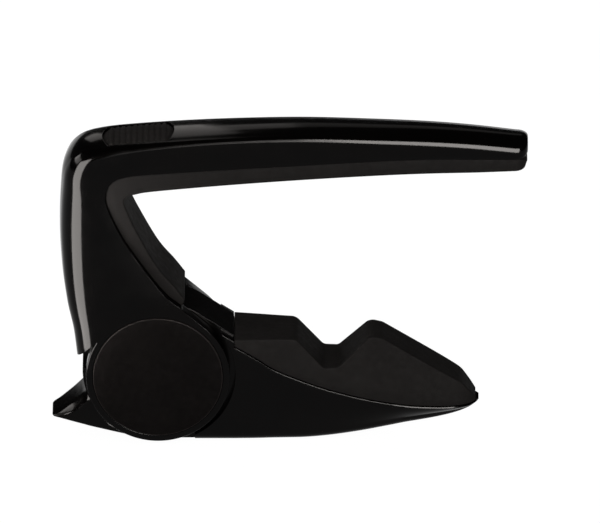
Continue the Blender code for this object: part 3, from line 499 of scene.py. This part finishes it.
def satin_disc():
    """Satin black cover with fine turned rings about the pivot, and a painted highlight: a lighter colour
    round its rim.
    """
    made, tree, shader = material("satin_disc")
    where = tree.nodes.new("ShaderNodeTexCoord")
    away = tree.nodes.new("ShaderNodeVectorMath")
    away.operation = "SUBTRACT"
    away.inputs[1].default_value = PIVOT
    tree.links.new(where.outputs["Object"], away.inputs[0])
    flat = tree.nodes.new("ShaderNodeVectorMath")
    flat.operation = "MULTIPLY"
    flat.inputs[1].default_value = (1.0, 0.0, 1.0)
    tree.links.new(away.outputs["Vector"], flat.inputs[0])
    reach = tree.nodes.new("ShaderNodeVectorMath")
    reach.operation = "LENGTH"
    tree.links.new(flat.outputs["Vector"], reach.inputs[0])
    rings = tree.nodes.new("ShaderNodeMath")
    rings.operation = "MULTIPLY"
    rings.inputs[1].default_value = DISC_RINGS
    tree.links.new(reach.outputs["Value"], rings.inputs[0])
    wave = tree.nodes.new("ShaderNodeMath")
    wave.operation = "SINE"
    tree.links.new(rings.outputs["Value"], wave.inputs[0])
    cloud = noise(tree, 160.0, 5.0)
    colour = ramp(tree, cloud, (0.0021, 0.0016, 0.0015, 1), (0.0032, 0.0025, 0.0023, 1), 0.35, 0.7)
    # painted highlight: the colour turns lighter close to the rim, standing in for the light on the rounded
    # edge
    rim = tree.nodes.new("ShaderNodeMix")
    rim.data_type = "RGBA"
    highlight_start, highlight_end = COVER_RADIUS - DISC_HIGHLIGHT_START, COVER_RADIUS - DISC_HIGHLIGHT_END
    painted_highlight = spread(tree, reach.outputs["Value"], 0.0, 1.0, highlight_start, highlight_end)
    tree.links.new(painted_highlight, rim.inputs["Factor"])
    tree.links.new(colour, rim.inputs["A"])
    # colour of the painted highlight at the rim
    rim.inputs["B"].default_value = (0.020, 0.017, 0.016, 1)
    tree.links.new(rim.outputs["Result"], shader.inputs["Base Color"])
    tree.links.new(spread(tree, noise(tree, 1200.0, 4.0), 0.34, 0.46), shader.inputs["Roughness"])
    shader.inputs["Specular IOR Level"].default_value = 0.016
    turned_face = bump(tree, shader, wave.outputs["Value"], 0.10, 0.000006)
    bump(tree, shader, noise(tree, 5200.0, 2.0), 0.12, 0.00001, turned_face)
    return made


def steel(name, base, roughness, grain):
    """Bare ground metal: cloudy colour, uneven gloss and a fine grain."""
    made, tree, shader = material(name)
    low = tuple(0.82 * value for value in base) + (1,)
    high = tuple(1.06 * value for value in base) + (1,)
    tree.links.new(ramp(tree, noise(tree, 220.0, 5.0), low, high, 0.3, 0.7), shader.inputs["Base Color"])
    streaks = spread(tree, noise(tree, grain, 5.0), roughness, roughness + 0.12)
    tree.links.new(streaks, shader.inputs["Roughness"])
    shader.inputs["Metallic"].default_value = 1.0
    bump(tree, shader, noise(tree, grain * 3, 3.0), 0.15, 0.00001)
    return made


ENAMEL = enamel()
RUBBER = rubber("rubber_black", 0.0058)
GRIP_RUBBER = rubber("rubber_grip", 0.0105)
SATIN = satin_disc()
STEEL = steel("ground_steel", (0.52, 0.52, 0.54), 0.24, 1500.0)
SPRING = steel("spring_steel", (0.36, 0.36, 0.38), 0.30, 2600.0)
BRONZE = steel("bearing_bronze", (0.50, 0.33, 0.16), 0.32, 1100.0)


def dress(target, surface, slot, body, *nodes):
    """Give a finished piece its material, hide the CAD pieces that it stands for, and hang it on the body
    that it rides on.
    """
    target.data.materials.clear()
    target.data.materials.append(surface)
    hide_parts(*nodes)
    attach(target, body)


# ---------------------------------------------------------------- arm
def arm_flank(depth, half, edge, crown):
    """Half of a section, from the seat up the side and over the edge to the middle."""
    shoulder = depth - crown - edge
    side = [(0.0, half - SEAT_EDGE)]
    foot = reversed(quarter_round(SEAT_EDGE, 3))
    side += [(SEAT_EDGE - along, half - inward) for along, inward in foot][1:]
    side += [(shoulder + along, half - inward) for along, inward in quarter_round(edge)]
    start = side[-1]
    crowned = []
    for step in range(1, CROWN_STEPS + 1):
        share = step / CROWN_STEPS
        width = start[1] * (1 - share)
        crowned.append((start[0] + crown * (1 - (width / start[1]) ** 2), width))
    return side + crowned


def arm_ring(top, seat, half, front_edge, back_edge, crown):
    crown *= CROWN_SHARE
    top, seat = Vector(top), Vector(seat)
    depth = (top - seat).length
    outward = (top - seat) / depth
    back = arm_flank(depth, half, back_edge, crown)
    front = arm_flank(depth, half, front_edge, crown)
    profile = back + [(rise, -y) for rise, y in reversed(front[:-1])]
    return [(seat.x + outward.x * rise, y, seat.y + outward.y * rise) for rise, y in profile]


def nose_rings(ring, length, radius):
    """Rings that close the end of a bar with a rounded tip."""
    middle_z = sum(point[2] for point in ring) / len(ring)
    reach = max(abs(point[1]) for point in ring)
    rings = []
    for step in range(1, NOSE_STEPS + 1):
        angle = math.pi / 2 * step / NOSE_STEPS
        inset = radius * (1 - math.cos(angle))
        share = (reach - inset) / reach
        ahead = length * math.sin(angle)
        rings.append([(x + ahead, y * share, middle_z + (z - middle_z) * share) for x, y, z in ring])
    return list(reversed(rings))


def arm_rows():
    """Rows of top x and z, seat x and z, half width, front and back edge, and crown."""
    head = [list(row[0]) + list(row[1]) + list(row[3:7]) for row in ARM]
    foot = [list(row[0]) + list(row[1]) + list(row[2:6]) for row in ARM_FOOT]
    rows = smooth_rows(head, CURVE_STEPS) + smooth_rows(head[-1:] + foot, CURVE_STEPS)[1:]
    return [[row[0], min(row[1], TOP)] + row[2:4] + [min(row[4], EAR_OUTER)] + row[5:] for row in rows]


def ear_outline(radius):
    round_end = arc(radius, EAR_ROUND_FROM, 2 * math.pi + EAR_EDGE_ANGLE)
    x, z = polar(radius, EAR_EDGE_ANGLE)
    edge_x = x - EAR_EDGE_RUN * math.sin(EAR_EDGE_ANGLE)
    edge_z = z + EAR_EDGE_RUN * math.cos(EAR_EDGE_ANGLE)
    return round_end + [(edge_x, edge_z), (round_end[0][0], edge_z)]


def ear(side):
    levels = [(0.0, EAR_INNER - FINE)]
    for along, inward in quarter_round(EAR_EDGE, 4):
        levels.append((inward, EAR_OUTER - EAR_EDGE + along))
    return loft([[(x, side * y, z) for x, z in ear_outline(EAR_RADIUS - inset)] for inset, y in levels])


def slot_outline():
    """Room for the hub between the ears, with a corner for the neck of the closed jaw."""
    radius = HUB_RADIUS + HUB_SLOT_ROOM
    start = NECK_ANGLE + JAW_CLOSING
    x, z = polar(radius, start)
    ahead_x, ahead_z = polar(radius, start - math.pi / 2)
    return arc(radius, start, start + 1.5 * math.pi) + [(x + ahead_x, z + ahead_z)]


def top_of_bar(rows):
    """The arm's top line, from the tip of the bar to the back of the spine."""
    line = [(rows[0][0], rows[0][1])]
    for row in rows[1:]:
        if row[0] >= line[-1][0]:
            break
        line.append((row[0], row[1]))
    return line


def make_arm():
    rows = arm_rows()
    rings = [arm_ring(row[0:2], row[2:4], *row[4:8]) for row in rows]
    rings = nose_rings(rings[0], BAR_NOSE, ARM[0][3] - ARM[0][4]) + rings
    arm = place("arm_casting", loft(rings))
    cut(arm, prism(FOOT_CUT, -OUTSIDE, OUTSIDE))
    for side in (-1, 1):
        cut(arm, ear(side), "UNION")
    cut(arm, prism(slot_outline(), -EAR_INNER, EAR_INNER))
    opening = COVER_RADIUS + FINE
    recess = ((0.0, SHAFT_END), (SCREW_HEAD_RADIUS, SHAFT_END), (SCREW_HEAD_RADIUS, COVER_SEAT),
              (opening, COVER_SEAT), (opening, RECESS_TOP), (0.0, RECESS_TOP))
    for side in (-1, 1):
        cut(arm, turned([(r, side * y) for r, y in recess]))
        cut(arm, disc(SHAFT_BORE, side * (EAR_INNER - OVERCUT), side * (SHAFT_END + OVERCUT), 48))
    cut(arm, grip_pocket())
    finish_normals(arm)
    dress(arm, ENAMEL, "black_casting", "arm", "arm_frame")
    make_grip(top_of_bar(rows))


def grip_ends(y, room=0.0):
    """The x at which the grip starts and ends, at a distance y from its middle."""
    bow = GRIP_BOW * (y / GRIP_HALF) ** 2
    return GRIP_START + bow - room, GRIP_END - bow + room


def grip_pocket():
    ys = [(GRIP_HALF + FINE) * (-1 + step / 8) for step in range(17)]
    outline = [(grip_ends(y, FINE)[1], y) for y in ys]
    outline += [(grip_ends(y, FINE)[0], y) for y in reversed(ys)]
    return loft([[(x, y, z) for x, y in outline] for z in (GRIP_FLOOR, GRIP_POCKET_TOP)])


def make_grip(top_line):
    """The ribbed insert: ten rounded ribs on a base that follows the crowned top of the elbow."""
    inner = GRIP_HALF - GRIP_FLAT_INSET
    ys = [(-GRIP_HALF + inset, drop) for inset, drop in GRIP_SIDE]
    ys += [(inner * (-1 + step / 8), 0.0) for step in range(17)]
    ys += [(-y, drop) for y, drop in reversed(ys[:3])]
    rings = []
    for y, drop in ys:
        start, end = grip_ends(y)
        fall = drop + GRIP_CROWN * (y / GRIP_SHOULDER) ** 2
        ring = [(start, y, GRIP_FLOOR + FINE)]
        for k in range(GRIP_STATIONS + 1):
            x = start + (end - start) * k / GRIP_STATIONS
            share = (x - RIB_FIRST) / RIB_PITCH
            rib = 0.0
            if -0.5 <= share <= RIB_COUNT - 0.5:
                rib = max(0.0, (abs(math.cos(math.pi * (share - round(share)))) ** 0.8 - 0.25) / 0.75)
            ends = min(1.0, (x - start) / GRIP_END_RUN, (end - x) / GRIP_END_RUN)
            lift = RIB_HEIGHT * rib * ends - GRIP_SINK - GRIP_END_DROP * (1 - ends)
            ring.append((x, y, height_at(top_line, x) + lift - fall))
        rings.append(ring + [(end, y, GRIP_FLOOR + FINE)])
    grip = place("thumb_grip_rubber", loft(rings))
    finish_normals(grip, 50.0)
    dress(grip, GRIP_RUBBER, "black_rubber", "arm", "thumb_grip")


def make_string_pad():
    """One moulded strip: a seat in the metal, flat sides, and a softly rounded face."""
    rows = [list(row[1]) + list(row[2]) + [row[7]] for row in ARM]
    rows = smooth_rows(rows, CURVE_STEPS)
    edge = STRING_PAD_EDGE
    rings = []
    for row in rows:
        seat, face = Vector(row[0:2]), Vector(row[2:4])
        half = row[4] + STRING_PAD_SWELL
        depth = (face - seat).length + STRING_PAD_SWELL
        outward = (face - seat) / depth
        side = [(rise, half - inward) for rise, inward in STRING_PAD_LIP]
        side += [(depth - edge + along, half - inward) for along, inward in quarter_round(edge)]
        profile = side + [(depth, y * side[-1][1] / 4) for y in (3, 2, 1, 0, -1, -2, -3)]
        profile += [(rise, -y) for rise, y in reversed(side)]
        rings.append([(seat.x + outward.x * rise, y, seat.y + outward.y * rise) for rise, y in profile])
    rings = nose_rings(rings[0], PAD_NOSE, PAD_NOSE) + rings
    pad = place("string_pad_rubber", loft(rings))
    soften(pad, STRING_PAD_SOFT)
    finish_normals(pad, MOULDED_SHARP)
    dress(pad, RUBBER, "black_rubber", "arm", "string_pad")


def make_cover(name, side, node):
    profile = [(0.0, COVER_SEAT + FINE), (COVER_RADIUS, COVER_SEAT + FINE)]
    shoulder = COVER_FACE - COVER_EDGE
    profile += [(COVER_RADIUS - inward, shoulder + along) for along, inward in quarter_round(COVER_EDGE)]
    profile += [(radius, COVER_FACE) for radius in COVER_FACE_RINGS]
    cover = place(name, turned([(r, side * y) for r, y in profile]))
    finish_normals(cover, MOULDED_SHARP)
    dress(cover, SATIN, "cover_satin", "arm", node)


# ---------------------------------------------------------------- jaw
def neck_height(x):
    """Height of the neck's straight top, which touches the round of the hub."""
    start_x, start_z = polar(HUB_RADIUS, NECK_ANGLE)
    return start_z - (x - start_x) / math.tan(NECK_ANGLE)


def hull_ring(x, rim, rim_half, bottom_half, bottom):
    bottom = max(bottom, -HUB_RADIUS)
    fillet = min(HULL_FILLET, (rim - bottom) / 3, bottom_half * 0.7)
    lip = min(HULL_LIP, rim_half * 0.2)
    side = [(rim_half - inward, rim - lip + along) for along, inward in reversed(quarter_round(lip, 3))]
    low = bottom + fillet
    for step in range(1, 8):
        share = step / 8
        bulge = min(HULL_BELLY, fillet) * math.sin(math.pi * share)
        y = rim_half + (bottom_half - rim_half) * share + bulge
        side.append((y, rim - lip + (low - rim + lip) * share))
    side += [(bottom_half - inward, low - along) for along, inward in quarter_round(fillet)]
    side += [((bottom_half - fillet) * share, bottom) for share in (0.66, 0.33)]
    profile = side + [(-y, z) for y, z in reversed(side)]
    return [(x, y, z) for y, z in profile]


def make_jaw():
    rows = [(JAW_START, neck_height(JAW_START) - NECK_SHOULDER - OVERCUT) + HULL[0][2:]]
    rows += [(NECK_END, neck_height(NECK_END) - NECK_SHOULDER) + HULL[0][2:]]
    smooth = [hull_ring(*row) for row in smooth_rows([list(row) for row in HULL], CURVE_STEPS)]
    jaw = place("jaw_casting", loft([hull_ring(*row) for row in rows] + smooth))
    for side in (-1, 1):
        cut(jaw, disc(EAR_RADIUS + EAR_CLEARANCE, side * HUB_HALF, side * OUTSIDE))
    hub = arc(HUB_RADIUS, NECK_ANGLE, 1.5 * math.pi)
    hub += [(JAW_START + HULL_FILLET, HUB_FOOT_RISE - HUB_RADIUS), (NECK_END, -HUB_RADIUS / 2)]
    hub += [(NECK_END, neck_height(NECK_END))]
    cut(jaw, prism(hub, -HUB_HALF, HUB_HALF), "UNION")
    slack = GAP / HUB_RADIUS
    start, end = LEVER_START - LEVER_TRAVEL - slack, LEVER_END + slack
    cavity_half = HUB_HALF - CHEEK
    outside = HUB_HALF + OVERCUT
    cut(jaw, disc(CAVITY_RADIUS, -cavity_half, cavity_half + OVERCUT))
    cut(jaw, disc(PLATE_RADIUS + GAP, cavity_half, outside))
    rim = sector(PLATE_RADIUS, HUB_RADIUS + OVERCUT, start, end)
    web = sector(CAVITY_RADIUS - OVERCUT, HUB_RADIUS + OVERCUT, start, end)
    floor = WEB_SLOT_RISE - cavity_half
    levels = ((rim, -outside), (rim, floor - WEB_SLOT_RISE / 2), (web, floor), (web, outside))
    cut(jaw, loft([[(x, y, z) for x, z in outline] for outline, y in levels]))
    cut(jaw, disc(CHEEK_OPENING, -outside, -cavity_half + OVERCUT, 64))
    finish_normals(jaw)
    dress(jaw, ENAMEL, "black_casting", "jaw", "jaw_frame")


def make_jaw_pad():
    """The moulded pad with the V-shaped cradle, its edges rounded along the whole top."""
    outline = rounded_outline(CRADLE, 8)
    hull = smooth_rows([list(row) for row in HULL], CURVE_STEPS)
    rims = [(row[0], row[1]) for row in hull]
    halves = [(row[0], row[2]) for row in hull]
    extra = [(x, height_at(outline, x)) for x, _ in rims if outline[0][0] < x < outline[-1][0]]
    merged = []
    for x, z in sorted(outline + extra):
        if not merged or x - merged[-1][0] > JAW_PAD_STATION:
            merged.append((x, z))
    rings = []
    for x, top in merged:
        rim = height_at(rims, x) + JAW_PAD_LIFT
        low_half = height_at(halves, x) - JAW_PAD_INSET
        top_half = low_half - JAW_PAD_DRAFT * (top - rim)
        edge = min(JAW_PAD_EDGE, (top - rim) / 2)
        side = [(low_half, rim)]
        for share in (0.25, 0.5, 0.75):
            side.append((low_half + (top_half - low_half) * share, rim + (top - edge - rim) * share))
        side += [(top_half - inward, top - edge + along) for along, inward in quarter_round(edge)]
        side += [(side[-1][0] * share, top) for share in (0.75, 0.5, 0.25)]
        profile = side + [(0.0, top)] + [(-y, z) for y, z in reversed(side)]
        rings.append([(x, y, z) for y, z in profile])
    pad = place("jaw_pad_rubber", loft(rings))
    soften(pad, JAW_PAD_SOFT)
    finish_normals(pad, MOULDED_SHARP)
    dress(pad, RUBBER, "black_rubber", "jaw", "jaw_pad")


# ---------------------------------------------------------------- release lever
def tail_flank(top, bottom, half, edge):
    """Half of a section, from the upper surface over the edge and down to the lower one."""
    reach = min(edge, half * 0.8)
    fall = min(edge * 0.8, (top - bottom) * 0.66)
    under = min(TAIL_UNDER_EDGE, (top - bottom) * 0.3)
    upper = [(half - reach * inward, top - fall + fall * along) for along, inward in quarter_round(1.0, 10)]
    lower = [(half - inward, bottom + under - along) for along, inward in quarter_round(under)]
    return list(reversed(upper)) + lower


def tail_ring(x, top, bottom, half):
    back = tail_flank(top, bottom, half, TAIL_BACK_EDGE)
    front = tail_flank(top, bottom, half, TAIL_FRONT_EDGE)
    profile = back + [(-y, z) for y, z in reversed(front)]
    return [(x, y, z) for y, z in profile]


def make_lever():
    rim_inner = PLATE_RADIUS + GAP
    rim = sector(rim_inner, HUB_RADIUS, LEVER_START, LEVER_END)
    lever = place("lever_casting", prism(rim, -HUB_HALF, HUB_HALF))
    rows = smooth_rows([list(row) for row in TAIL], 4)
    cut(lever, loft([tail_ring(*row) for row in rows]), "UNION")
    slack = GAP / rim_inner
    web = sector(LEVER_WEB_INNER, rim_inner + OVERCUT, LEVER_START + slack, LEVER_END - slack)
    cut(lever, prism(web, LEVER_WEB_FRONT, LEVER_WEB_BACK), "UNION")
    cut(lever, disc(LEVER_RING_RADIUS, LEVER_WEB_FRONT, LEVER_WEB_BACK), "UNION")
    cut(lever, disc(LEVER_RING_BORE, LEVER_WEB_FRONT - OVERCUT, LEVER_WEB_BACK + OVERCUT, 96))
    finish_normals(lever)
    dress(lever, ENAMEL, "black_casting", "lever", "release_lever")


# ---------------------------------------------------------------- inner pieces that stay
def dress_nodes():
    for names, surface in (
        (("pivot_shaft", "clutch_drum", "drum_pin", "front_shaft_screw", "rear_shaft_screw",
          "plate_screw_1", "plate_screw_2", "plate_screw_3", "anchor_pin", "release_pin"), STEEL),
        (("wrap_spring",), SPRING),
        (("front_bush", "rear_bush"), BRONZE),
        (("hub_side_plate",), SATIN),
    ):
        for name in names:
            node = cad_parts[name]
            for slot in node.material_slots:
                slot.material = surface


# ---------------------------------------------------------------- stage, light and camera
def light(name, place_at, target, size, radiance, diffuse, colour=PANEL_TINT):
    """A rectangular light that the camera doesn't see, of a given brightness beside white.

    It either lights matt surfaces or shows in gloss, never both.
    """
    data = bpy.data.lights.new(name, "AREA")
    data.shape = "RECTANGLE"
    data.size, data.size_y = size
    data.energy = radiance * math.pi * size[0] * size[1]
    data.color = colour
    made = bpy.data.objects.new(name, data)
    bpy.context.scene.collection.objects.link(made)
    made.location = place_at
    made.rotation_euler = (Vector(target) - Vector(place_at)).to_track_quat("-Z", "Y").to_euler()
    made.visible_camera = False
    made.visible_diffuse = diffuse
    made.visible_glossy = not diffuse


def white_to_view(tree):
    """1 for rays that see the background directly, in a reflection or through glass."""
    path = tree.nodes.new("ShaderNodeLightPath")
    total = path.outputs["Is Camera Ray"]
    for name in ("Is Glossy Ray", "Is Transmission Ray"):
        either = tree.nodes.new("ShaderNodeMath")
        either.operation = "MAXIMUM"
        tree.links.new(total, either.inputs[0])
        tree.links.new(path.outputs[name], either.inputs[1])
        total = either.outputs["Value"]
    return total


def make_stage():
    """A white floor that keeps the shadow, and that is clear from below."""
    data = bpy.data.meshes.new("floor")
    reach = FLOOR_REACH
    corners = [(-reach, -reach, 0), (reach, -reach, 0), (reach, reach, 0), (-reach, reach, 0)]
    data.from_pydata(corners, [], [(0, 1, 2, 3)])
    floor = place("floor", data, shift=False)
    floor.location.z = -FLOOR_DROP
    made, tree, shader = material("floor_white")
    shader.inputs["Base Color"].default_value = (0.9, 0.9, 0.9, 1)
    shader.inputs["Roughness"].default_value = 0.9
    shader.inputs["Specular IOR Level"].default_value = 0.0
    glow = tree.nodes.new("ShaderNodeEmission")
    glow.inputs["Color"].default_value = (1, 1, 1, 1)
    glow.inputs["Strength"].default_value = FLOOR_WHITE
    mix = tree.nodes.new("ShaderNodeMixShader")
    share = tree.nodes.new("ShaderNodeMath")
    share.operation = "MULTIPLY"
    share.inputs[1].default_value = FLOOR_GLOW
    tree.links.new(white_to_view(tree), share.inputs[0])
    tree.links.new(share.outputs["Value"], mix.inputs["Fac"])
    tree.links.new(shader.outputs["BSDF"], mix.inputs[1])
    tree.links.new(glow.outputs["Emission"], mix.inputs[2])
    below = tree.nodes.new("ShaderNodeNewGeometry")
    clear = tree.nodes.new("ShaderNodeBsdfTransparent")
    side = tree.nodes.new("ShaderNodeMixShader")
    tree.links.new(below.outputs["Backfacing"], side.inputs["Fac"])
    tree.links.new(mix.outputs["Shader"], side.inputs[1])
    tree.links.new(clear.outputs["BSDF"], side.inputs[2])
    tree.links.new(side.outputs["Shader"], tree.nodes["Material Output"].inputs["Surface"])
    floor.data.materials.append(made)


def make_world():
    """A studio that lights evenly: white to the camera, and dark above the horizon in gloss."""
    world = bpy.data.worlds.new("studio")
    bpy.context.scene.world = world
    world.use_nodes = True
    tree = world.node_tree
    plain = tree.nodes["Background"]
    plain.inputs["Color"].default_value = (1, 1, 1, 1)
    plain.inputs["Strength"].default_value = WORLD_LEVEL
    where = tree.nodes.new("ShaderNodeTexCoord")
    parts = tree.nodes.new("ShaderNodeSeparateXYZ")
    tree.links.new(where.outputs["Generated"], parts.inputs["Vector"])
    fade = tree.nodes.new("ShaderNodeMapRange")
    fade.interpolation_type = "SMOOTHSTEP"
    fade.inputs["From Min"].default_value = WORLD_WHITE_TO
    fade.inputs["From Max"].default_value = WORLD_DARK_FROM
    fade.inputs["To Min"].default_value = 1.0
    fade.inputs["To Max"].default_value = WORLD_OVERHEAD
    tree.links.new(parts.outputs["Z"], fade.inputs["Value"])
    seen = tree.nodes.new("ShaderNodeBackground")
    seen.inputs["Color"].default_value = (1, 1, 1, 1)
    strength = tree.nodes.new("ShaderNodeMath")
    strength.operation = "MAXIMUM"
    tree.links.new(fade.outputs["Result"], strength.inputs[0])
    path = tree.nodes.new("ShaderNodeLightPath")
    tree.links.new(path.outputs["Is Camera Ray"], strength.inputs[1])
    tree.links.new(strength.outputs["Value"], seen.inputs["Strength"])
    mix = tree.nodes.new("ShaderNodeMixShader")
    tree.links.new(white_to_view(tree), mix.inputs["Fac"])
    tree.links.new(plain.outputs["Background"], mix.inputs[1])
    tree.links.new(seen.outputs["Background"], mix.inputs[2])
    tree.links.new(mix.outputs["Shader"], tree.nodes["World Output"].inputs["Surface"])


def make_lights():
    """Two soft lights give the level; the panels only draw the highlights on gloss."""
    centre = (0.0, 0.0, 0.034)
    light("front_softbox", (-0.15, -0.93, 0.33), centre, (0.50, 0.36), 8.0, True, SOFTBOX_TINT)
    light("back_softbox", (0.15, 0.93, 0.33), centre, (0.50, 0.36), 5.0, True, SOFTBOX_TINT)
    light("elbow_panel", (-0.0745, 0.150, 0.126), (-0.0350, 0.0, 0.0610), (0.026, 0.050), 2.1, False)
    light("top_left", (-0.0360, 0.150, 0.158), (-0.0187, 0.0, 0.0630), (0.028, 0.095), 3.0, False)
    light("top_middle", (-0.0120, 0.150, 0.152), (-0.0050, 0.0, 0.0635), (0.022, 0.045), 1.2, False)
    light("top_right", (0.0360, 0.150, 0.150), (0.0200, 0.0, 0.0630), (0.076, 0.045), 0.4, False)
    light("spine_panel", (-0.0488, -0.0181, 0.0380), (-0.0410, -0.0065, 0.0380), (0.0137, 0.056), 50.0, False)
    light("tail_panel", (-0.3720, 0.0460, 0.2280), (-0.0420, -0.0030, 0.0060), (0.40, 0.11), 14.0, False)
    light("front_left", (0.0000, -0.50, 0.20), (0.0, 0.0, 0.03), (0.06, 0.40), 6.5, False)
    light("front_right", (0.1550, -0.50, 0.22), (0.155, 0.0, 0.03), (0.25, 0.42), 66.0, False)


def make_camera():
    data = bpy.data.cameras.new("camera")
    data.sensor_width = SENSOR_WIDTH
    data.lens = SENSOR_WIDTH * CAMERA_DISTANCE / FRAME_WIDTH
    data.clip_end = CAMERA_CLIP_END
    made = bpy.data.objects.new("camera", data)
    bpy.context.scene.collection.objects.link(made)
    away = Vector((0.0, -math.cos(CAMERA_ELEVATION), math.sin(CAMERA_ELEVATION)))
    made.location = CAMERA_TARGET + away * CAMERA_DISTANCE
    made.rotation_euler = (-away).to_track_quat("-Z", "Y").to_euler()
    bpy.context.scene.camera = made


make_arm()
make_string_pad()
make_cover("front_cover_disc", -1, "front_cover")
make_cover("rear_cover_disc", 1, "rear_cover")
make_jaw()
make_jaw_pad()
make_lever()
dress_nodes()
make_stage()
make_world()
make_lights()
make_camera()
bpy.context.scene.view_settings.view_transform = "Standard"
